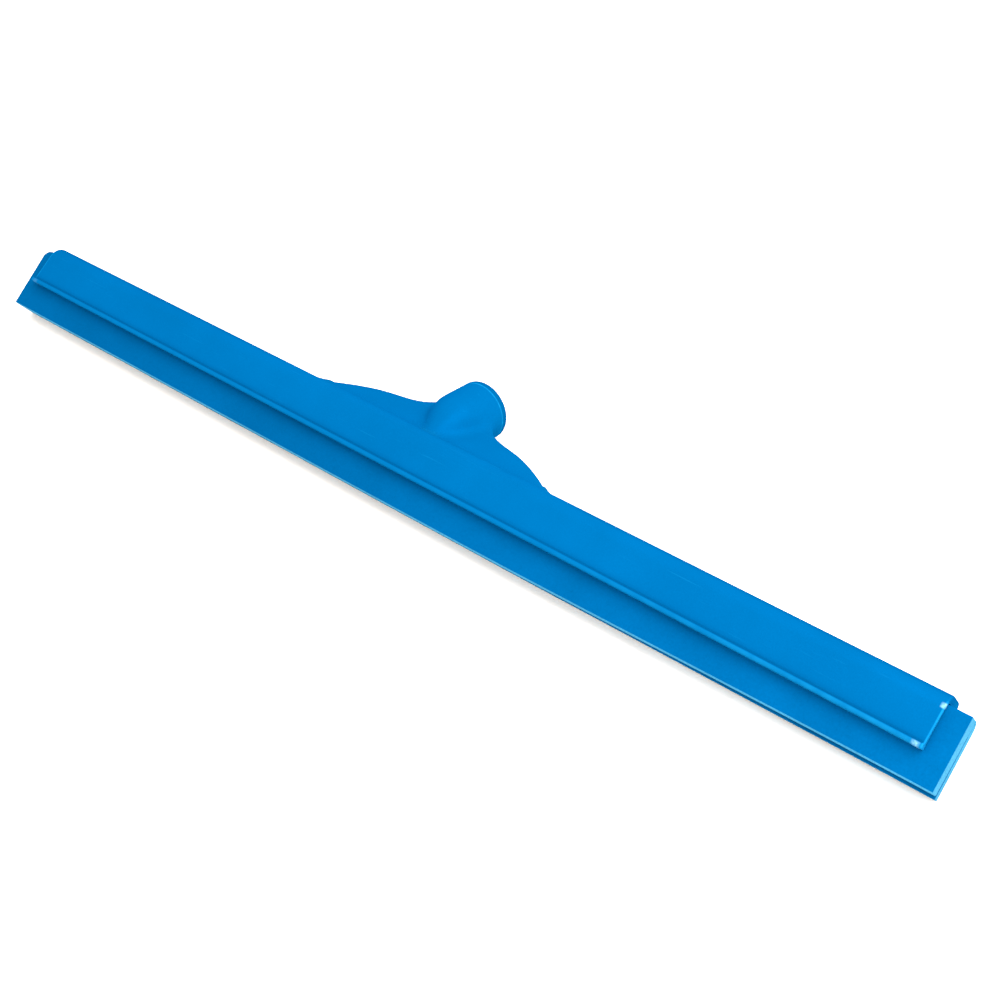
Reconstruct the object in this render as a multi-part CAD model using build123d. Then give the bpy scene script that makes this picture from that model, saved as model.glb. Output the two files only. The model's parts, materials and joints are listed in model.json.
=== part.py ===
from build123d import *
import math
import os

# Floor squeegee head: a one-piece plastic holder with an angled handle socket,
# gripping a refill made of two foam rubber blades bonded along their roots.
#
# The section is drawn upright: X runs along the head, Y towards the handle side,
# Z up from the working edge, with Y = 0 on the middle of the blade pack.
# At the end everything is laid down on its back, as it rests on a floor.

# Holder, a channel that is open below and at both ends
HOLDER_LENGTH = 600.0
CREST_HEIGHT = 43.6          # top of the channel above the working edge
FRONT_WALL_FOOT = 11.9       # outside of the front wall just above its lip
FRONT_WALL_TOP = 10.2        # the same wall leans in towards the crest
REAR_WALL_FACE = 11.2        # outside of the rear wall, from the middle
LIP_LOW = 16.6               # lower edge of the walls
LIP_HIGH = 19.2              # top of the bead along that edge
LIP_FACE = 13.9              # how far out the bead reaches
CHANNEL_HALF = 9.0           # inside of each wall
CHANNEL_ROOF = 39.4
GRIP_HALF = 8.5              # tips of the grip ribs and of the mouth
GRIP_RIB_HEIGHTS = (23.1, 29.1)
GRIP_RIB_WIDTH = 2.2
MOUTH_THICKNESS = 2.9        # height of the narrow mouth between the lips
RAIL_BACK = 14.2             # back of the rail that carries the web
RAIL_DEPTH = 4.5             # straight part of its back, below the crest
FRONT_CREST_RADIUS = 8.0
CHANNEL_CORNER_RADIUS = 3.0
RAIL_TOP_RADIUS = 3.5
RAIL_FOOT_RADIUS = 1.5
LIP_RADIUS = 1.0
LIP_ROOT_RADIUS = 0.9
RAIL_RUN_OUT_RADIUS = 4.0    # where the rail's sloping underside meets the rear wall
END_EDGE_RADIUS = 0.6
CUT_PAST = 1.0               # how far a cut runs past the face it opens

# Refill
BLADE_HEIGHT = 38.9
FRONT_BLADE_FACE = -8.2
FRONT_BLADE_BACK = 1.4
REAR_BLADE_FRONT = 2.4
REAR_BLADE_BACK = 8.2
BLADE_TAPER = 0.5            # each inner face falls back by this much at the edge
ROOT_STRIP_LOW = 31.2
LEFT_OVERHANG = 8.5
RIGHT_OVERHANG = 11.3
BLADE_EDGE_RADIUS = 0.8
FRONT_ROOT_RADIUS = 1.2
REAR_ROOT_RADIUS = 5.5

# Handle socket, on an axis that leans back by SOCKET_LEAN from the blade plane
SOCKET_LEAN = 45.0           # degrees; the blends below suit this angle
MOUTH_Y = 38.4
MOUTH_Z = 74.0
SOCKET_RADIUS = 16.7
SOCKET_STRAIGHT = 20.0       # from the mouth to the start of the tapered end
SOCKET_TAPER = 40.0          # length of the tapered end, which fades into the web
SOCKET_TIP_RADIUS = 3.0      # its small end, buried in the web
BORE_RADIUS = 12.0
BORE_DEPTH = 30.0
MOUTH_EDGE_RADIUS = 2.4
BORE_CHAMFER = 1.0

# Web, a plate on the socket's axis plane that spreads into the rail
WEB_THICKNESS = 8.0
WEB_NECK = (16.2, 11.0)      # half width and distance down from the mouth
WEB_SHOULDER = (25.0, 22.0)
WEB_MIDDLE = (48.0, 29.0)
WEB_FLANK = (67.5, 38.0)
WEB_FOOT = (94.0, 54.5)      # its root ends inside the channel
WEB_NECK_RUN = (0.4, 1.0)    # directions of the outline at its two ends
WEB_FOOT_RUN = (1.0, 0.6)
WEB_REACH = 60.0             # more than enough to cut right through the plate
WEB_EDGE_RADIUS = 2.6
SOCKET_BLEND_RADIUS = 5.0
CREST_BLEND_RADIUS = 9.0


def rounded(face, corners):
    """Round the corners of a flat face: each entry is a corner's two coordinates and a radius."""
    for across, up, radius in corners:
        corner = face.vertices().sort_by_distance(Vector(across, up))[0]
        face = fillet(corner, radius)
    return face


def section(points):
    """A closed flat face through (y, z) points."""
    return make_face(Polyline(*points, close=True))


def along_x(face, start, end):
    """Stand a (y, z) section up and extrude it along X from start to end."""
    return extrude(Plane.YZ.offset(start) * face, amount=end - start)


def holder_outline():
    """The channel's outer section, with its lips and its rear rail."""
    rail_run = RAIL_BACK - REAR_WALL_FACE
    rail_foot = CREST_HEIGHT - RAIL_DEPTH
    outline = section([
        (-LIP_FACE, LIP_LOW),
        (-LIP_FACE, LIP_HIGH),
        (-FRONT_WALL_FOOT, LIP_HIGH),
        (-FRONT_WALL_TOP, CREST_HEIGHT),
        (RAIL_BACK, CREST_HEIGHT),
        (RAIL_BACK, rail_foot),
        (REAR_WALL_FACE, rail_foot - rail_run),
        (REAR_WALL_FACE, LIP_HIGH),
        (LIP_FACE, LIP_HIGH),
        (LIP_FACE, LIP_LOW),
    ])
    corners = [
        (-FRONT_WALL_TOP, CREST_HEIGHT, FRONT_CREST_RADIUS),
        (RAIL_BACK, CREST_HEIGHT, RAIL_TOP_RADIUS),
        (RAIL_BACK, rail_foot, RAIL_FOOT_RADIUS),
        (REAR_WALL_FACE, rail_foot - rail_run, RAIL_RUN_OUT_RADIUS),
        (-FRONT_WALL_FOOT, LIP_HIGH, LIP_ROOT_RADIUS),
        (REAR_WALL_FACE, LIP_HIGH, LIP_ROOT_RADIUS),
    ]
    for side in (-1, 1):
        corners.append((side * LIP_FACE, LIP_HIGH, LIP_RADIUS))
        corners.append((side * LIP_FACE, LIP_LOW, LIP_RADIUS))
    return rounded(outline, corners)


def channel_section():
    """The space inside the walls, narrowed by the mouth and the grip ribs."""
    space = section([
        (-CHANNEL_HALF, LIP_LOW - CUT_PAST),
        (-CHANNEL_HALF, CHANNEL_ROOF),
        (CHANNEL_HALF, CHANNEL_ROOF),
        (CHANNEL_HALF, LIP_LOW - CUT_PAST),
    ])
    space = rounded(space, [
        (-CHANNEL_HALF, CHANNEL_ROOF, CHANNEL_CORNER_RADIUS),
        (CHANNEL_HALF, CHANNEL_ROOF, CHANNEL_CORNER_RADIUS),
    ])
    depth = CHANNEL_HALF - GRIP_HALF
    for side in (-1, 1):
        inner = side * GRIP_HALF
        outer = side * (CHANNEL_HALF + CUT_PAST)
        top = LIP_LOW + MOUTH_THICKNESS
        below = LIP_LOW - 2 * CUT_PAST
        space -= section([
            (inner, below), (inner, top - depth), (outer, top + CUT_PAST), (outer, below),
        ])
        for height in GRIP_RIB_HEIGHTS:
            half = GRIP_RIB_WIDTH / 2
            space -= section([
                (inner, height), (outer, height + half), (outer, height - half),
            ])
    return space


def channel_body():
    """The straight channel, solid inside, with rounded outer end edges."""
    half = HOLDER_LENGTH / 2
    body = along_x(holder_outline(), -half, half)
    ends = body.faces().filter_by(Axis.X)
    return fillet(ends.edges(), END_EDGE_RADIUS)


def socket_frame():
    """Z runs down the socket's axis from the middle of its mouth."""
    lean = math.radians(SOCKET_LEAN)
    down = Vector(0, -math.sin(lean), -math.cos(lean))
    return Plane(origin=(0, MOUTH_Y, MOUTH_Z), x_dir=(1, 0, 0), z_dir=down)


def web_plane():
    """The plane of the web: x along the head, y down the socket's axis from its mouth."""
    frame = socket_frame()
    return Plane(origin=frame.origin, x_dir=frame.x_dir, z_dir=frame.x_dir.cross(frame.z_dir))


def web_outline():
    """The fan shape of the web, from the socket's neck to its root in the channel."""
    points = (WEB_NECK, WEB_SHOULDER, WEB_MIDDLE, WEB_FLANK, WEB_FOOT)
    right = Spline(*points, tangents=(WEB_NECK_RUN, WEB_FOOT_RUN))
    left = mirror(right, Plane.YZ)
    root = Line(WEB_FOOT, (-WEB_FOOT[0], WEB_FOOT[1]))
    neck = Line((-WEB_NECK[0], WEB_NECK[1]), WEB_NECK)
    return make_face(Curve() + [right, root, left, neck])


def web():
    """The fan-shaped plate, with both of its long edges rounded."""
    plate = extrude(web_outline(), amount=WEB_THICKNESS / 2, both=True)
    sides = [edge for edge in plate.edges() if edge.geom_type == GeomType.BSPLINE]
    plate = fillet(sides, WEB_EDGE_RADIUS)
    return web_plane() * plate


def crest_blend():
    """The concave blend between the channel's crest and the front of the web."""
    lean = math.radians(SOCKET_LEAN)
    axis_offset = MOUTH_Y - MOUTH_Z * math.tan(lean)
    corner_y = axis_offset + CREST_HEIGHT * math.tan(lean) - WEB_THICKNESS / 2 / math.cos(lean)
    reach = CREST_BLEND_RADIUS * math.tan(lean / 2)
    corner = (corner_y, CREST_HEIGHT)
    on_crest = (corner_y - reach, CREST_HEIGHT)
    on_web = (corner_y + reach * math.sin(lean), CREST_HEIGHT + reach * math.cos(lean))
    inside = (corner_y, CREST_HEIGHT - WEB_THICKNESS / 4)
    curve = RadiusArc(on_crest, on_web, -CREST_BLEND_RADIUS)
    wedge = make_face(Curve() + [curve, Line(on_web, corner), Line(corner, inside), Line(inside, on_crest)])
    fan = web_plane() * extrude(web_outline(), amount=WEB_REACH, both=True)
    return along_x(wedge, -WEB_FOOT[0], WEB_FOOT[0]) & fan


def socket_outside():
    """The socket's outside: a straight tube with a tapered closed end."""
    start = (SOCKET_RADIUS, SOCKET_STRAIGHT)
    tip = (SOCKET_TIP_RADIUS, SOCKET_STRAIGHT + SOCKET_TAPER)
    side = Line((SOCKET_RADIUS, 0), start)
    taper = Spline(start, tip, tangents=((0, 1), (0, 1)))
    closing = Polyline(tip, (0, tip[1]), (0, 0), (SOCKET_RADIUS, 0))
    half_section = make_face(Curve() + [side, taper, closing])
    half_section = rounded(half_section, [(SOCKET_RADIUS, 0, MOUTH_EDGE_RADIUS)])
    turned = revolve(Plane.XZ * half_section, Axis.Z)
    return socket_frame() * turned


def arm():
    """The web and the socket, blended into each other."""
    plate = web()
    socket = socket_outside()
    joined = plate + socket
    seams = new_edges(plate, socket, combined=joined)
    return fillet(seams, SOCKET_BLEND_RADIUS)


def bore():
    """The blind bore for the handle, with a chamfered mouth."""
    low = (Align.CENTER, Align.CENTER, Align.MIN)
    hole = Cylinder(BORE_RADIUS, BORE_DEPTH, align=low)
    lead_in = Cone(BORE_RADIUS + BORE_CHAMFER, BORE_RADIUS, BORE_CHAMFER, align=low)
    return socket_frame() * (hole + lead_in)


def holder():
    """The whole moulding: channel, web and socket in one piece."""
    half = HOLDER_LENGTH / 2
    channel = along_x(channel_section(), -half - CUT_PAST, half + CUT_PAST)
    return channel_body() + arm() + crest_blend() - channel - bore()


def refill_piece(points, corners):
    """A strip of the refill, as long as the blades."""
    half = HOLDER_LENGTH / 2
    return along_x(rounded(section(points), corners), -half - LEFT_OVERHANG, half + RIGHT_OVERHANG)


def front_blade():
    """The blade on the side away from the handle."""
    return refill_piece(
        [
            (FRONT_BLADE_FACE, 0),
            (FRONT_BLADE_FACE, BLADE_HEIGHT),
            (FRONT_BLADE_BACK, BLADE_HEIGHT),
            (FRONT_BLADE_BACK, ROOT_STRIP_LOW),
            (FRONT_BLADE_BACK - BLADE_TAPER, 0),
        ],
        [
            (FRONT_BLADE_FACE, 0, BLADE_EDGE_RADIUS),
            (FRONT_BLADE_FACE, BLADE_HEIGHT, FRONT_ROOT_RADIUS),
        ],
    )


def rear_blade():
    """The blade on the handle side."""
    return refill_piece(
        [
            (REAR_BLADE_FRONT + BLADE_TAPER, 0),
            (REAR_BLADE_FRONT, ROOT_STRIP_LOW),
            (REAR_BLADE_FRONT, BLADE_HEIGHT),
            (REAR_BLADE_BACK, BLADE_HEIGHT),
            (REAR_BLADE_BACK, 0),
        ],
        [
            (REAR_BLADE_BACK, 0, BLADE_EDGE_RADIUS),
            (REAR_BLADE_BACK, BLADE_HEIGHT, REAR_ROOT_RADIUS),
        ],
    )


def root_strip():
    """The foam strip that bonds the two blades together along their roots."""
    return refill_piece(
        [
            (FRONT_BLADE_BACK, ROOT_STRIP_LOW),
            (FRONT_BLADE_BACK, BLADE_HEIGHT),
            (REAR_BLADE_FRONT, BLADE_HEIGHT),
            (REAR_BLADE_FRONT, ROOT_STRIP_LOW),
        ],
        [],
    )


def rest_tilt():
    """Degrees that the head leans back when its rear blade's edge and the socket's rim
    both touch the floor. Both are round corners, of different radii."""
    lean = math.radians(SOCKET_LEAN)
    edge_y = REAR_BLADE_BACK - BLADE_EDGE_RADIUS
    edge_z = BLADE_EDGE_RADIUS
    outward = SOCKET_RADIUS - MOUTH_EDGE_RADIUS
    rim_y = MOUTH_Y + outward * math.cos(lean) - MOUTH_EDGE_RADIUS * math.sin(lean)
    rim_z = MOUTH_Z - outward * math.sin(lean) - MOUTH_EDGE_RADIUS * math.cos(lean)
    between = math.atan2(rim_z - edge_z, rim_y - edge_y)
    span = math.hypot(rim_z - edge_z, rim_y - edge_y)
    return math.degrees(between - math.asin((MOUTH_EDGE_RADIUS - BLADE_EDGE_RADIUS) / span))


pieces = {
    "holder": holder(),
    "front_blade": front_blade(),
    "rear_blade": rear_blade(),
    "root_strip": root_strip(),
}

# Lay the head on its back, then put the floor at Z = 0 and the origin under its middle
laid = {name: Rot(-rest_tilt(), 0, 0) * piece for name, piece in pieces.items()}
boxes = [piece.bounding_box() for piece in laid.values()]
low = [min(getattr(box.min, axis) for box in boxes) for axis in "XYZ"]
high = [max(getattr(box.max, axis) for box in boxes) for axis in "XYZ"]
to_floor = Pos(-(low[0] + high[0]) / 2, -(low[1] + high[1]) / 2, -low[2])

os.makedirs("parts", exist_ok=True)
for name, piece in laid.items():
    export_step(to_floor * piece, f"parts/{name}.step")
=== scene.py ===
import json
import math

import bmesh
import bpy
from mathutils import Matrix, Vector, noise


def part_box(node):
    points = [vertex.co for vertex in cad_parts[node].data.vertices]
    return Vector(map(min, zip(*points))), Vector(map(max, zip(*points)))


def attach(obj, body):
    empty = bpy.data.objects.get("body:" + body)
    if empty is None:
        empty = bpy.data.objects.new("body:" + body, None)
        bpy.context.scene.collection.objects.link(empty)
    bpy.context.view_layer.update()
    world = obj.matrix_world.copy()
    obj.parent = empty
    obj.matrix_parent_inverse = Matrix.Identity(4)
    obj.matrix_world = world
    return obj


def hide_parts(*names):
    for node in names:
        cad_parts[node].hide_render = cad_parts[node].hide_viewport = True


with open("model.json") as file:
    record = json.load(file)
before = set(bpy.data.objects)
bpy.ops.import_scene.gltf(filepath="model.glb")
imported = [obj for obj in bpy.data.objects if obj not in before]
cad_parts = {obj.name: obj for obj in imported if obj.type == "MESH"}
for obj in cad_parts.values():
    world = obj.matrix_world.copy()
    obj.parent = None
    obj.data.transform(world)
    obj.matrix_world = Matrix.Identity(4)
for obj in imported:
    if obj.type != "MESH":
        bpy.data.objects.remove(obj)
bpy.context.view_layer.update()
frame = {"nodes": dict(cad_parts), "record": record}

# A floor squeegee head: its moulded holder, and the twin foam blades that the holder grips.
# Places and lengths are in metres, in the row's frame: X along the head, Y from the blades'
# working edges towards the socket's mouth, Z up.
MM = 0.001

# Camera: angles in degrees, lens and sensor in millimetres
CAMERA_PLACE = Vector((0.42351, -0.41921, 0.51800))
CAMERA_AZIMUTH = 42.209
CAMERA_ELEVATION = 42.288
CAMERA_ROLL = -4.142
CAMERA_LENS = 52.631
CAMERA_SENSOR = 36
CAMERA_NEAREST = 0.01

# Studio: the lamp's power is in watts
FLOOR_HALF = 6
FLOOR_COLOUR = (0.98, 0.95, 0.90, 1)
FLOOR_GLOW = (0.22, 0.11, 0.03, 1)   # a faint warm light of its own, so that the shadow stays pale
WORLD_STRENGTH = 1.7
KEY_PLACE = (0.55, 0.02, 1.15)
KEY_TARGET = (0.1, 0, 0)
KEY_SIZE = (1.1, 0.9)
KEY_POWER = 18

# Foam pieces
FOAM_STEP = 1.1 * MM             # spacing of the points round a section
FOAM_STATION = 2.0 * MM          # spacing of the sections along a blade
FOAM_ENDS = (0.0, 0.15 * MM, 0.45 * MM)     # the first sections, from either cut end
FOAM_CUT_WEAR = 0.30 * MM        # how far a cut end's corners are rubbed away
FOAM_CUT_SHARES = (1.0, 0.4)     # of that wear, at the first two sections
FOAM_DIMPLE = 0.10 * MM          # how deep the skin's unevenness goes
FOAM_COARSE = (0.6, 90, 260)     # its coarse part: share, and noise per metre along X and across
FOAM_FINE = (0.4, 420, 420)      # its fine part
FOAM_CORNER_RADIUS = 6.5 * MM    # of the left end's rubbed upper corner
FOAM_CORNER_STEPS = 9            # sections round that corner
FOAM_WAVE = 0.20 * MM            # slow waviness of the free edges
FOAM_WAVE_ALONG = 11             # its noise per metre along X
FRONT_EDGE_WEAR = 2.7 * MM       # how much shorter the front blade is worn at its right end
REAR_EDGE_WEAR = 1.3 * MM        # and the rear blade
EDGE_WEAR_FROM = 0.04            # along X, where that wear starts
CUT_FACING = 0.3                 # sides that face the working edge more than this were cut
SKIN_SLOT, CUT_SLOT = 0, 1
SAME_POINT = 0.01 * MM           # points of a CAD mesh closer than this are one
CAP_DEPTH = 0.05 * MM            # faces this close to a solid's end are its cap

# Where the holder is rubbed, or carries painted highlights, glints and shade. Heights are above the blades'
# working edges.
LIP_TOP = 19.2 * MM              # of the bead
BEAD_FROM = (0.3 * MM, 0.9 * MM)     # below the lip's top, where the painted highlight comes in and is full
BEAD_HIGHLIGHT_LENGTH = 0.2            # how far from the right end the painted highlight starts to grow
BEAD_HIGHLIGHT = (0.18, 0.85)          # how much of it there is, there and at the end itself
ROOT_ABOVE = 0.45 * MM           # the dark line's middle, above the lip's top
ROOT_WIDTH = (0.2 * MM, 1.0 * MM)    # from its middle, full and gone
HAZE_ABOVE = (0.6 * MM, 3.0 * MM)    # above the lip's top, a fainter shade, full and gone
HAZE_SHADE = 0.35
CREST_TOP = 43.6 * MM            # of the channel
CREST_BELOW = (2.2 * MM, 0.3 * MM)   # below its top, where the band of painted shade comes in and is full
WEB_REACH = 94 * MM              # how far the web's feet spread to each side
WEB_FADE = 12 * MM               # beyond them, where that band is full
GLINT_HEIGHT = 37.2 * MM         # of the painted glint on the right arris, where the crest starts to turn
GLINT_SIZE = (0.8 * MM, 1.5 * MM)    # up and down from its middle, full and gone
GLINT_REACH = (1.4 * MM, 2.4 * MM)   # in from the right end, full and gone
ARRIS_WIDTH = (0.3 * MM, 1.0 * MM)   # in from an end, full and gone
ARRIS_ABOVE = (1.5 * MM, 3.0 * MM)   # above the glint, where the arris's rub and painted highlight starts to weaken and is weakest
ARRIS_TOP_SHARE = 0.15
GLINT_CORNER_FROM = (1.2 * MM, 2.4 * MM)  # in from an end, where the painted glint on the lip's corner comes in and is full
GLINT_CORNER_TO = (3.5 * MM, 5.5 * MM)    # and where it is full and gone
RIM_BAND = 4.6 * MM              # height of the band of painted shade round the socket's mouth
RIM_BLUR = 0.5 * MM
RIM_GLINT_BELOW = 0.3 * MM        # the painted highlight line's middle, below the band
RIM_GLINT_WIDTH = (0.15 * MM, 0.55 * MM)     # from its middle, full and gone

# How far the shading rounds the edges
EDGE_SOFTNESS = 0.5 * MM
ARM_SOFTNESS = 7 * MM
ARM_ACROSS = (75 * MM, 95 * MM)      # to each side, where the arm's softer blends are full and gone
ARM_START = (-24 * MM, -14 * MM)     # along Y, where they come in and are full
ARM_END = (16 * MM, 9 * MM)          # short of the mouth's far side, where they are full and gone
CORNER_SHADE_REACH = 5 * MM              # how far from an inner corner its painted shade spreads
ARM_CORNER_SHADE_SHARE = 0.25            # how much of that painted shade is left where the blends are softest
CORNER_SHADE_SHELTER = (0.75, 0.35)      # how open to the sky an unshaded place is, and a fully shaded one
EDGE_TURN = (0.97, 0.80)         # cosine between the rounded and true normals, on the flat and on an edge

# Noise, in features per metre
SINKS = 14
CLOUDS = 22
FOAM_CLOUDS = 30
SMEARS = 60
PATCHES = 140
FOAM_PATCHES = 350
FOAM_SHINE = 400
PEEL = 420
GLINT_BREAKUP = 700
SCRATCHES = 900
SCRATCH_STRETCH = (0.03, 1, 1)   # drawn out along the head
FOAM_MOTTLE = 900
FOAM_ROUGHNESS = 1300
FOAM_CELLS = 1500
GRAIN = 1800
NOISE_SPAN = (0.3, 0.7)          # nearly all of a noise lies between these
SCRATCH_PEAKS = (0.66, 0.72)     # only the noise's peaks are scratches
PATCH_NOISE = (0.35, 0.65)
GLINT_BREAKUP_NOISE = (0.35, 0.6)
FOAM_PATCH_NOISE = (0.45, 0.6)
CELL_HOLLOW = (0.15, 0.45)       # out from a cell's middle, in cells, full and gone

# Materials, linear colours
PLASTIC_COLOUR = (0.0, 0.0952, 0.264)
PLASTIC_TINT = (0.0, 0.35, 0.7, 1)
# rubbed plastic, and also the painted highlights on the lip, the end arrises and the mouth
RUB_AND_HIGHLIGHT_COLOUR = (0.004, 0.17, 0.38)
# colour of the painted glints
GLINT_COLOUR = (0.20, 0.44, 0.58)
FOAM_COLOUR = (0.0, 0.079, 0.222)
FOAM_CUT_COLOUR = (0.03, 0.20, 0.36)
FOAM_SHEEN = (0.35, 0.80, 1.0, 1)
FOAM_LIGHT_SPAN = (-0.05, 0.30)        # along X, where the painted light runs from the foam's darker part to its lighter one
FOAM_LIGHT_TONES = (0.95, 1.16)


# ---------------------------------------------------------------- camera and studio

def make_camera():
    """The view: an azimuth, an elevation and a slight roll."""
    a, e, r = (math.radians(v) for v in (CAMERA_AZIMUTH, CAMERA_ELEVATION, CAMERA_ROLL))
    back = Vector((math.sin(a) * math.cos(e), -math.cos(a) * math.cos(e), math.sin(e)))
    right = Vector((math.cos(a), math.sin(a), 0))
    up = back.cross(right)
    right, up = right * math.cos(r) + up * math.sin(r), up * math.cos(r) - right * math.sin(r)
    data = bpy.data.cameras.new("camera")
    data.lens = CAMERA_LENS
    data.sensor_width = CAMERA_SENSOR
    data.clip_start = CAMERA_NEAREST
    camera = bpy.data.objects.new("camera", data)
    bpy.context.scene.collection.objects.link(camera)
    turn = Matrix((right, up, back)).transposed()
    camera.matrix_world = Matrix.Translation(CAMERA_PLACE) @ turn.to_4x4()
    bpy.context.scene.camera = camera


def softbox(name, place, target, size, power):
    """A rectangular area light that faces its target."""
    data = bpy.data.lights.new(name, "AREA")
    data.shape = "RECTANGLE"
    data.size, data.size_y = size
    data.energy = power
    lamp = bpy.data.objects.new(name, data)
    bpy.context.scene.collection.objects.link(lamp)
    lamp.location = place
    aim = Vector(target) - Vector(place)
    lamp.rotation_euler = aim.to_track_quat("-Z", "Y").to_euler()


def make_studio():
    """A white floor, an even white surround and one soft lamp."""
    mesh = bpy.data.meshes.new("floor")
    s = FLOOR_HALF
    mesh.from_pydata([(-s, -s, 0), (s, -s, 0), (s, s, 0), (-s, s, 0)], [], [(0, 1, 2, 3)])
    floor = bpy.data.objects.new("floor", mesh)
    bpy.context.scene.collection.objects.link(floor)
    mesh.materials.append(floor_material())
    world = bpy.data.worlds.new("world")
    bpy.context.scene.world = world
    world.use_nodes = True
    background = world.node_tree.nodes["Background"]
    background.inputs["Color"].default_value = (1, 1, 1, 1)
    background.inputs["Strength"].default_value = WORLD_STRENGTH
    softbox("key", KEY_PLACE, KEY_TARGET, KEY_SIZE, KEY_POWER)
    bpy.context.scene.view_settings.view_transform = "Standard"


# ---------------------------------------------------------------- shader helpers

def new_tree(name):
    material = bpy.data.materials.new(name)
    material.use_nodes = True
    tree = material.node_tree
    return material, tree, tree.nodes["Principled BSDF"]


def put(tree, sockets, values):
    """Each value is a number, a colour or another node's output."""
    for key, value in values.items():
        if isinstance(value, bpy.types.NodeSocket):
            tree.links.new(value, sockets[key])
        else:
            sockets[key].default_value = value


def add(tree, kind, values, output=0, **settings):
    """Adds a node, fills its inputs and returns one of its outputs."""
    node = tree.nodes.new(kind)
    for key, value in settings.items():
        setattr(node, key, value)
    put(tree, node.inputs, values)
    return node.outputs[output]


def place_in(tree):
    """The shaded point's place in the row's frame."""
    return add(tree, "ShaderNodeTexCoord", {}, output="Object")


def coordinate(tree, axis):
    """Its X, Y or Z."""
    return add(tree, "ShaderNodeSeparateXYZ", {"Vector": place_in(tree)}, output=axis)


def along_way(tree, vector, way):
    """A vector's length along a direction."""
    return add(tree, "ShaderNodeVectorMath", {0: vector, 1: way}, output="Value", operation="DOT_PRODUCT")


def maths(tree, operation, a, b):
    return add(tree, "ShaderNodeMath", {0: a, 1: b}, operation=operation)


def product(tree, first, *others):
    for other in others:
        first = maths(tree, "MULTIPLY", first, other)
    return first


def distance_from(tree, middle, value):
    return maths(tree, "ABSOLUTE", maths(tree, "SUBTRACT", value, middle), 0)


def spread(tree, value, low, high, to_low, to_high):
    """Maps low..high to to_low..to_high, clamped."""
    return add(tree, "ShaderNodeMapRange",
               {"Value": value, "From Min": low, "From Max": high, "To Min": to_low, "To Max": to_high})


def noise_at(tree, scale, detail=2.0, roughness=0.5, stretch=(1, 1, 1)):
    """Noise with that many features per metre."""
    place = add(tree, "ShaderNodeMapping", {"Vector": place_in(tree), "Scale": stretch})
    return add(tree, "ShaderNodeTexNoise",
               {"Vector": place, "Scale": scale, "Detail": detail, "Roughness": roughness})


def varied(tree, scale, detail, low, high, roughness=0.5):
    """Noise that runs from low to high."""
    return spread(tree, noise_at(tree, scale, detail, roughness), *NOISE_SPAN, low, high)


def mix(tree, factor, a, b, blend="MIX"):
    """Two colours, mixed. The mix node numbers its colour inputs 6 and 7 and its colour output 2."""
    node = tree.nodes.new("ShaderNodeMix")
    node.data_type = "RGBA"
    node.blend_type = blend
    put(tree, node.inputs, {0: factor, 6: a, 7: b})
    return node.outputs[2]


def bump(tree, height, distance, strength, normal):
    return add(tree, "ShaderNodeBump",
               {"Height": height, "Distance": distance, "Strength": strength, "Normal": normal})


def shade(colour, factor):
    return tuple(min(1.0, c * factor) for c in colour) + (1,)


# ---------------------------------------------------------------- masks on the holder

def blend_radius(tree):
    """The radius that edges are softened by: small everywhere, large round the socket's arm."""
    far_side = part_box("holder")[1][1]
    y = coordinate(tree, "Y")
    across = spread(tree, distance_from(tree, 0, coordinate(tree, "X")), *ARM_ACROSS, 1.0, 0.0)
    upward = spread(tree, y, *ARM_START, 0.0, 1.0)
    outward = spread(tree, y, far_side - ARM_END[0], far_side - ARM_END[1], 1.0, 0.0)
    here = product(tree, across, upward, outward)
    return spread(tree, here, 0.0, 1.0, EDGE_SOFTNESS, ARM_SOFTNESS)


def bead_highlight_mask(tree, height, x, right):
    """The beaded lip's face, made lighter: a painted highlight that grows towards the right end."""
    face = spread(tree, height, LIP_TOP - BEAD_FROM[0], LIP_TOP - BEAD_FROM[1], 0.0, 1.0)
    return product(tree, face, spread(tree, x, right - BEAD_HIGHLIGHT_LENGTH, right, *BEAD_HIGHLIGHT))


def root_shade_mask(tree, height):
    """Painted shade: a dark line in the crease above the lip, with a fainter shade over it."""
    line = spread(tree, distance_from(tree, LIP_TOP + ROOT_ABOVE, height), *ROOT_WIDTH, 1.0, 0.0)
    haze = spread(tree, height, LIP_TOP + HAZE_ABOVE[0], LIP_TOP + HAZE_ABOVE[1], HAZE_SHADE, 0.0)
    haze = product(tree, haze, maths(tree, "GREATER_THAN", height, LIP_TOP))
    return maths(tree, "MAXIMUM", line, haze)


def arris_rub_and_highlight_mask(tree, height, from_end):
    """The holder's end arrises: a rubbed line that is also a painted highlight, weaker where they turn over
    the crest.
    """
    full, weak = (GLINT_HEIGHT + rise for rise in ARRIS_ABOVE)
    below_crest = spread(tree, height, full, weak, 1.0, ARRIS_TOP_SHARE)
    return product(tree, spread(tree, from_end, *ARRIS_WIDTH, 1.0, 0.0), below_crest)


def glint_mask(tree, height, bead_highlight, from_end, from_right):
    """Painted glints: on the lip's two outer corners, and a spot on the right end arris."""
    near_end = spread(tree, from_end, *GLINT_CORNER_TO, 1.0, 0.0)
    corners = product(tree, near_end, spread(tree, from_end, *GLINT_CORNER_FROM, 0.0, 1.0), bead_highlight)
    spot = spread(tree, distance_from(tree, GLINT_HEIGHT, height), *GLINT_SIZE, 1.0, 0.0)
    spot = product(tree, spot, spread(tree, from_right, *GLINT_REACH, 1.0, 0.0))
    return maths(tree, "MAXIMUM", corners, spot)


def crest_shade_mask(tree, height, x, middle):
    """Painted shade along the top of the channel's crest, outside the web."""
    top = spread(tree, height, CREST_TOP - CREST_BELOW[0], CREST_TOP - CREST_BELOW[1], 0.0, 1.0)
    sideways = distance_from(tree, middle, x)
    return product(tree, top, spread(tree, sideways, WEB_REACH, WEB_REACH + WEB_FADE, 0.0, 1.0))


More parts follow.
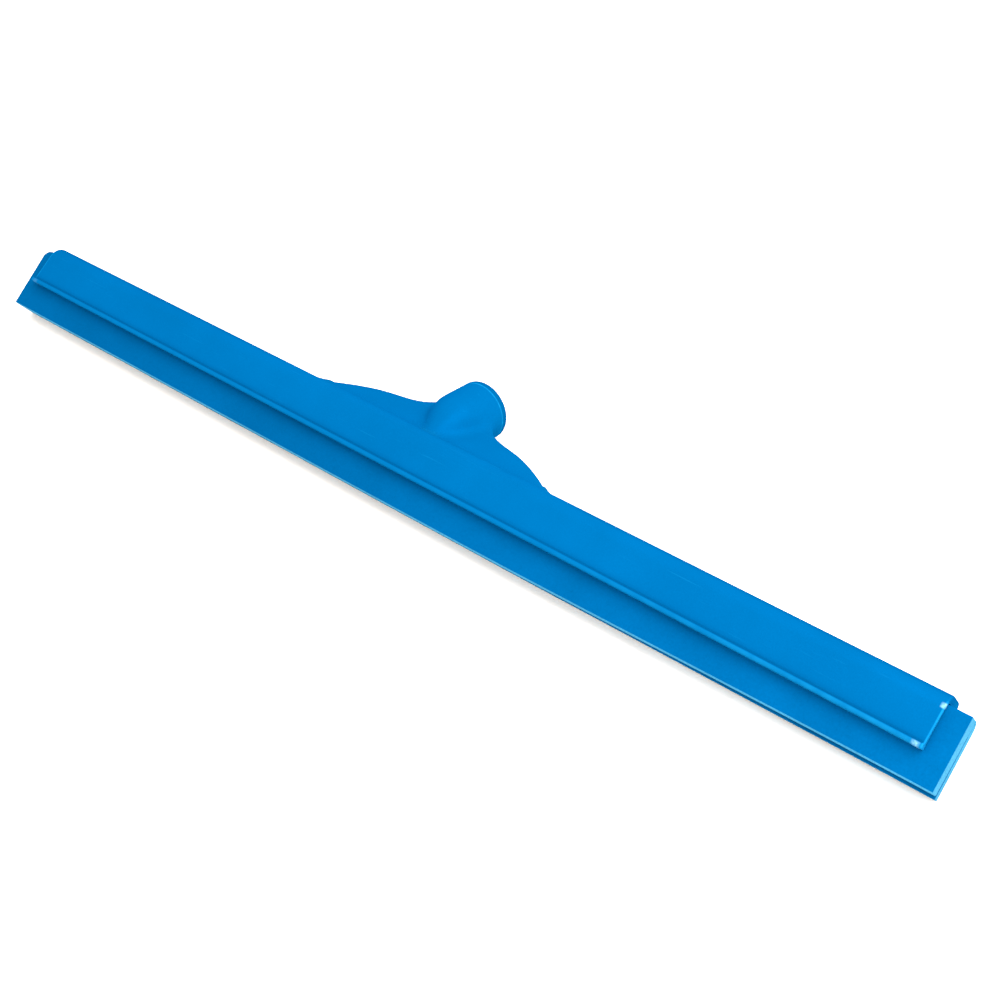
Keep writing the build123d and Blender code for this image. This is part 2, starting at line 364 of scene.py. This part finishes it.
def channel_masks(tree, edge_way, blade_edge):
    """Where the channel and its lip are rubbed, or carry painted highlights, glints and shade."""
    down = along_way(tree, place_in(tree), (0.0, edge_way.x, edge_way.y))
    height = maths(tree, "SUBTRACT", blade_edge, down)
    x = coordinate(tree, "X")
    left, right = (corner[0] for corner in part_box("holder"))
    from_right = maths(tree, "SUBTRACT", right, x)
    from_end = maths(tree, "MINIMUM", from_right, maths(tree, "SUBTRACT", x, left))
    bead_highlight = bead_highlight_mask(tree, height, x, right)
    root = root_shade_mask(tree, height)
    arris = arris_rub_and_highlight_mask(tree, height, from_end)
    glints = glint_mask(tree, height, bead_highlight, from_end, from_right)
    crest = crest_shade_mask(tree, height, x, (left + right) / 2)
    return bead_highlight, root, arris, glints, crest


def rim_shade_and_glint_masks(tree):
    """A band of painted shade round the socket's mouth, and the painted highlight line that ends it."""
    axis = Vector(frame["record"]["mounts"][0]["axis"])
    mouth = max(v.co.dot(axis) for v in frame["nodes"]["holder"].data.vertices)
    inside = maths(tree, "SUBTRACT", mouth, along_way(tree, place_in(tree), tuple(axis)))
    band = spread(tree, inside, RIM_BAND - RIM_BLUR, RIM_BAND, 1.0, 0.0)
    off_line = distance_from(tree, RIM_BAND + RIM_GLINT_BELOW, inside)
    return band, spread(tree, off_line, *RIM_GLINT_WIDTH, 1.0, 0.0)


# ---------------------------------------------------------------- materials

def floor_material():
    material, tree, shader = new_tree("floor_paper")
    put(tree, shader.inputs, {
        "Base Color": FLOOR_COLOUR,
        "Roughness": 0.9,
        "Specular IOR Level": 0.1,
        "Emission Color": FLOOR_GLOW,
        "Emission Strength": 1.0,
    })
    return material


def plastic_material(edge_way, blade_edge):
    """Injection-moulded polypropylene: satin, with a fine mould texture, soft sink marks,
    rubbed edges and hairline scratches along the head. Its colour also carries painted shade in the
    corners, over the lip, along the crest and round the socket's mouth, and painted highlights
    and glints on the lip, the end arrises and the mouth."""
    material, tree, shader = new_tree("holder_plastic")
    radius = blend_radius(tree)
    edge_normal = add(tree, "ShaderNodeBevel", {"Radius": radius}, samples=8)
    true_normal = add(tree, "ShaderNodeNewGeometry", {}, output="True Normal")
    edge = spread(tree, along_way(tree, edge_normal, true_normal), *EDGE_TURN, 0.0, 1.0)
    # Painted shade: the colour darkens where the AO finds the sky hidden, in inner corners and creases.
    open_sky = add(tree, "ShaderNodeAmbientOcclusion", {"Distance": CORNER_SHADE_REACH}, output="AO", samples=8)
    corner_shade_share = spread(tree, radius, EDGE_SOFTNESS, ARM_SOFTNESS, 1.0, ARM_CORNER_SHADE_SHARE)
    corner_shade = product(tree, spread(tree, open_sky, *CORNER_SHADE_SHELTER, 0.0, 1.0), corner_shade_share)
    scratch_noise = noise_at(tree, SCRATCHES, 3, 0.6, SCRATCH_STRETCH)
    scratch = spread(tree, scratch_noise, *SCRATCH_PEAKS, 0.0, 1.0)
    patchy = spread(tree, noise_at(tree, PATCHES, 4), *PATCH_NOISE, 0.55, 1.0)
    # noise that breaks up the painted glints
    glint_breakup = spread(tree, noise_at(tree, GLINT_BREAKUP, 3), *GLINT_BREAKUP_NOISE, 0.35, 1.0)
    bead_highlight, root, arris, glints, crest = channel_masks(tree, edge_way, blade_edge)
    rim, rim_glint = rim_shade_and_glint_masks(tree)

    tone = product(tree, varied(tree, CLOUDS, 4, 0.94, 1.05), varied(tree, GRAIN, 3, 0.95, 1.05))
    base = mix(tree, 1.0, shade(PLASTIC_COLOUR, 1.0), tone, "MULTIPLY")
    layers = [
        (edge, 0.35, shade(RUB_AND_HIGHLIGHT_COLOUR, 1.0)),
        # painted shade in inner corners and creases
        (corner_shade, 0.35, shade(PLASTIC_COLOUR, 0.45)),
        (scratch, 0.25, shade(RUB_AND_HIGHLIGHT_COLOUR, 1.0)),
        # painted highlight on the lip's bead
        (bead_highlight, patchy, shade(RUB_AND_HIGHLIGHT_COLOUR, 1.0)),
        # painted shade in the crease above the lip
        (root, 0.55, shade(PLASTIC_COLOUR, 0.55)),
        # rubbed end arrises, which are also a painted highlight
        (arris, patchy, shade(RUB_AND_HIGHLIGHT_COLOUR, 1.35)),
        # painted glints on the lip's corners and the right arris
        (glints, glint_breakup, shade(GLINT_COLOUR, 1.0)),
        # painted shade along the crest's top
        (crest, 0.35, shade(PLASTIC_COLOUR, 0.5)),
        # painted shade round the socket's mouth
        (rim, 0.45, shade(PLASTIC_COLOUR, 0.6)),
        # painted highlight line below that band
        (rim_glint, glint_breakup, shade(RUB_AND_HIGHLIGHT_COLOUR, 1.1)),
    ]
    for mask, strength, colour in layers:
        base = mix(tree, product(tree, mask, strength), base, colour)

    sink = bump(tree, noise_at(tree, SINKS, 1), 0.6 * MM, 0.35, edge_normal)
    peel = bump(tree, noise_at(tree, PEEL, 2), 0.10 * MM, 0.35, sink)
    put(tree, shader.inputs, {
        "Base Color": base,
        "Roughness": maths(tree, "ADD", varied(tree, SMEARS, 5, 0.36, 0.50), product(tree, scratch, 0.12)),
        "Normal": bump(tree, noise_at(tree, GRAIN, 3), 0.06 * MM, 0.6, peel),
        "Metallic": 0.12,
        "Specular IOR Level": 0.0,
        "Specular Tint": PLASTIC_TINT,
    })
    return material


def foam_material(name, colour, cut):
    """Cellular rubber. Its moulded skin, where cut is 0, is finely mottled. A cut face, where
    cut is 1, shows open cells. The cells' hollows are darkened as painted shade, and the colour
    carries a painted light that is lighter towards the right end."""
    material, tree, shader = new_tree(name)
    cloudy = varied(tree, FOAM_CLOUDS, 4, 0.93, 1.06)
    mottle = varied(tree, FOAM_MOTTLE, 3, 0.93 - cut * 0.1, 1.07 + cut * 0.1, 0.7)
    # painted light: the foam gets lighter towards its right end
    foam_painted_light = spread(tree, coordinate(tree, "X"), *FOAM_LIGHT_SPAN, *FOAM_LIGHT_TONES)
    base = mix(tree, 1.0, shade(colour, 1.0), product(tree, cloudy, mottle, foam_painted_light), "MULTIPLY")

    cells = add(tree, "ShaderNodeTexVoronoi", {"Vector": place_in(tree), "Scale": FOAM_CELLS}, feature="F1")
    hollows = spread(tree, cells, *CELL_HOLLOW, 1.0, 0.0)
    patches = spread(tree, noise_at(tree, FOAM_PATCHES, 2), *FOAM_PATCH_NOISE, 0.0, 1.0)
    pits = product(tree, hollows, maths(tree, "MAXIMUM", patches, cut * 0.6))
    # painted shade in the open cells' hollows
    base = mix(tree, product(tree, pits, 0.18 + 0.42 * cut), base, shade(colour, 0.45))

    height = maths(tree, "SUBTRACT", noise_at(tree, FOAM_ROUGHNESS, 3, 0.7), pits)
    rounding = add(tree, "ShaderNodeBevel", {"Radius": EDGE_SOFTNESS}, samples=4)
    put(tree, shader.inputs, {
        "Base Color": base,
        "Roughness": varied(tree, FOAM_SHINE, 2, 0.72, 0.9),
        "Normal": bump(tree, height, (0.05 + 0.10 * cut) * MM, 0.5 + 0.3 * cut, rounding),
        "Specular IOR Level": 0.0,
        "Sheen Weight": 0.12 * cut,
        "Sheen Roughness": 0.6,
        "Sheen Tint": FOAM_SHEEN,
    })
    return material


# ---------------------------------------------------------------- the foam's sections

def section_loop(node):
    """The closed (y, z) outline of a prism's end that faces -X, in the row frame."""
    work = bmesh.new()
    work.from_mesh(node.data)
    work.transform(node.matrix_world)
    bmesh.ops.remove_doubles(work, verts=work.verts, dist=SAME_POINT)
    end = min(v.co.x for v in work.verts)
    cap = {f for f in work.faces if all(v.co.x < end + CAP_DEPTH for v in f.verts)}
    rim = [e for e in work.edges if sum(f in cap for f in e.link_faces) == 1]
    start = rim[0].verts[0]
    loop, previous, current = [start], None, start
    while True:
        step = next(e for e in current.link_edges if e in rim and e != previous)
        current, previous = step.other_vert(current), step
        if current == start:
            break
        loop.append(current)
    points = [Vector((v.co.y, v.co.z)) for v in loop]
    work.free()
    area = sum(a.cross(b) for a, b in zip(points, points[1:] + points[:1]))
    return points if area > 0 else points[::-1]


def resample(points):
    """The same outline with its long sides divided evenly."""
    dense = []
    for a, b in zip(points, points[1:] + points[:1]):
        count = max(1, round((b - a).length / FOAM_STEP))
        dense += [a.lerp(b, k / count) for k in range(count)]
    return dense


def inward(points):
    """A unit vector into the section at each of its points."""
    result = []
    for before, after in zip(points[-1:] + points[:-1], points[1:] + points[:1]):
        along = (after - before).normalized()
        result.append(Vector((-along.y, along.x)))
    return result


def edge_direction():
    """In (y, z), from the blades' roots to their working edges."""
    points = section_loop(frame["nodes"]["front_blade"])
    sides = zip(points, points[1:] + points[:1])
    longest = max(((b - a) for a, b in sides), key=lambda side: side.length).normalized()
    return longest if longest.y < 0 else -longest


def unfold(ring, points):
    """Joins neighbours of a shifted ring where the shift has turned the side between them round."""
    count = len(points)
    for k in range(count):
        m = (k + 1) % count
        if (ring[m] - ring[k]).dot(points[m] - points[k]) < 0:
            middle = (ring[k] + ring[m]) / 2
            ring[k], ring[m] = middle, middle.copy()


# ---------------------------------------------------------------- the foam's wear

def noise_share(x, y, z):
    return 0.5 + 0.5 * noise.noise(Vector((x, y, z)))


def skin_depth(x, point, seed):
    """How far the uneven skin lies inside the section there."""
    share, along, across = FOAM_COARSE
    coarse = share * noise_share(x * along, point.x * across, point.y * across + seed)
    share, along, across = FOAM_FINE
    fine = share * noise_share(x * along, point.x * across + seed, point.y * across)
    return FOAM_DIMPLE * (coarse + fine)


def cut_wear(station, last_station):
    """How far a section's corners are rubbed away, which only those by a cut end are."""
    from_end = min(station, last_station - station)
    return FOAM_CUT_WEAR * FOAM_CUT_SHARES[from_end] if from_end < len(FOAM_CUT_SHARES) else 0.0


def corner_wear(from_end, from_root):
    """How far the left end's upper corner is rounded off there, towards the working edge."""
    inside = FOAM_CORNER_RADIUS - from_end
    if inside <= 0:
        return 0.0
    lowered = FOAM_CORNER_RADIUS - math.sqrt(max(0.0, FOAM_CORNER_RADIUS ** 2 - inside ** 2))
    return max(0.0, lowered - from_root)


def worn_here(x, right_end):
    """Rises smoothly from 0 where the edges' wear starts to 1 at the right end."""
    t = min(1.0, max(0.0, (x - EDGE_WEAR_FROM) / (right_end - EDGE_WEAR_FROM)))
    return t * t * (3 - 2 * t)


# ---------------------------------------------------------------- foam pieces

def stations_along(left, right, has_corner):
    """Where along X the sections stand: closer by the cut ends and round the rubbed corner."""
    length = right - left
    inner = max(2, round(length / FOAM_STATION))
    places = [left + d for d in FOAM_ENDS]
    if has_corner:
        steps = range(1, FOAM_CORNER_STEPS + 1)
        corner = [FOAM_CORNER_RADIUS * (k / FOAM_CORNER_STEPS) for k in steps]
        places += [left + d for d in corner if d > 2 * FOAM_ENDS[-1]]
    beyond = FOAM_CORNER_RADIUS + FOAM_ENDS[-1]
    places += [left + beyond + (length - 2 * beyond) * k / inner for k in range(inner + 1)]
    return places + [right - d for d in reversed(FOAM_ENDS)]


def tube_mesh(name, stations, rings, is_cut, skin, cut):
    """Joins the rings into a closed tube. is_cut says which points of a ring lie on a cut side."""
    count = len(is_cut)
    verts = [(x, q.x, q.y) for x, ring in zip(stations, rings) for q in ring]
    sides, slots = [], []
    for i in range(len(stations) - 1):
        at_end = i in (0, len(stations) - 2)
        a, b = i * count, (i + 1) * count
        for k in range(count):
            m = (k + 1) % count
            sides.append((a + k, a + m, b + m, b + k))
            slots.append(CUT_SLOT if at_end or (is_cut[k] and is_cut[m]) else SKIN_SLOT)
    last = (len(stations) - 1) * count
    caps = [tuple(reversed(range(count))), tuple(last + k for k in range(count))]
    mesh = bpy.data.meshes.new(name)
    mesh.from_pydata(verts, [], sides + caps)
    mesh.materials.append(skin)
    mesh.materials.append(cut)
    mesh.polygons.foreach_set("material_index", slots + [CUT_SLOT] * len(caps))
    mesh.polygons.foreach_set("use_smooth", [True] * len(sides) + [False] * len(caps))
    return mesh


def foam_piece(name, node_name, skin, cut, edge_way=None, end_wear=0.0):
    """A foam strip with an uneven skin, rubbed corners and cut ends, inside its CAD solid.
    A blade also has an edge_way, from its root to its working edge, and wears that edge back."""
    left, right = (corner[0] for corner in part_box(node_name))
    points = resample(section_loop(frame["nodes"][node_name]))
    into = inward(points)
    stations = stations_along(left, right, edge_way is not None)
    reach = [p.dot(edge_way) if edge_way else 0.0 for p in points]
    far, near = max(reach), min(reach)
    seed = 10.0 * len(node_name)
    rings = []
    for i, x in enumerate(stations):
        at_cut = cut_wear(i, len(stations) - 1)
        edge_loss = FOAM_WAVE * noise_share(x * FOAM_WAVE_ALONG, seed, 0.0) + end_wear * worn_here(x, right)
        ring = []
        for p, n, r in zip(points, into, reach):
            shift = n * (skin_depth(x, p, seed) + at_cut)
            if edge_way:
                free = ((r - near) / (far - near)) ** 2
                shift = shift - edge_way * (edge_loss * free)
                shift = shift + edge_way * corner_wear(x - left, r - near)
            ring.append(p + shift)
        unfold(ring, points)
        rings.append(ring)
    is_cut = [edge_way is not None and -n.dot(edge_way) > CUT_FACING for n in into]
    piece = bpy.data.objects.new(name, tube_mesh(name, stations, rings, is_cut, skin, cut))
    bpy.context.scene.collection.objects.link(piece)
    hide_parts(node_name)
    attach(piece, "refill")


# ---------------------------------------------------------------- build

def dress_holder(edge_way):
    """Gives the holder's CAD mesh its plastic."""
    blade_edge = max(p.dot(edge_way) for p in section_loop(frame["nodes"]["front_blade"]))
    plastic = plastic_material(edge_way, blade_edge)
    for slot in frame["nodes"]["holder"].material_slots:
        slot.material = plastic


def make_refill(edge_way):
    """The two blades and the strip that joins their roots."""
    skin = foam_material("foam_skin", FOAM_COLOUR, 0.0)
    cut = foam_material("foam_cut", FOAM_CUT_COLOUR, 1.0)
    foam_piece("front_blade_foam", "front_blade", skin, cut, edge_way, FRONT_EDGE_WEAR)
    foam_piece("rear_blade_foam", "rear_blade", skin, cut, edge_way, REAR_EDGE_WEAR)
    foam_piece("root_strip_foam", "root_strip", skin, cut)


make_camera()
make_studio()
working_way = edge_direction()
dress_holder(working_way)
make_refill(working_way)
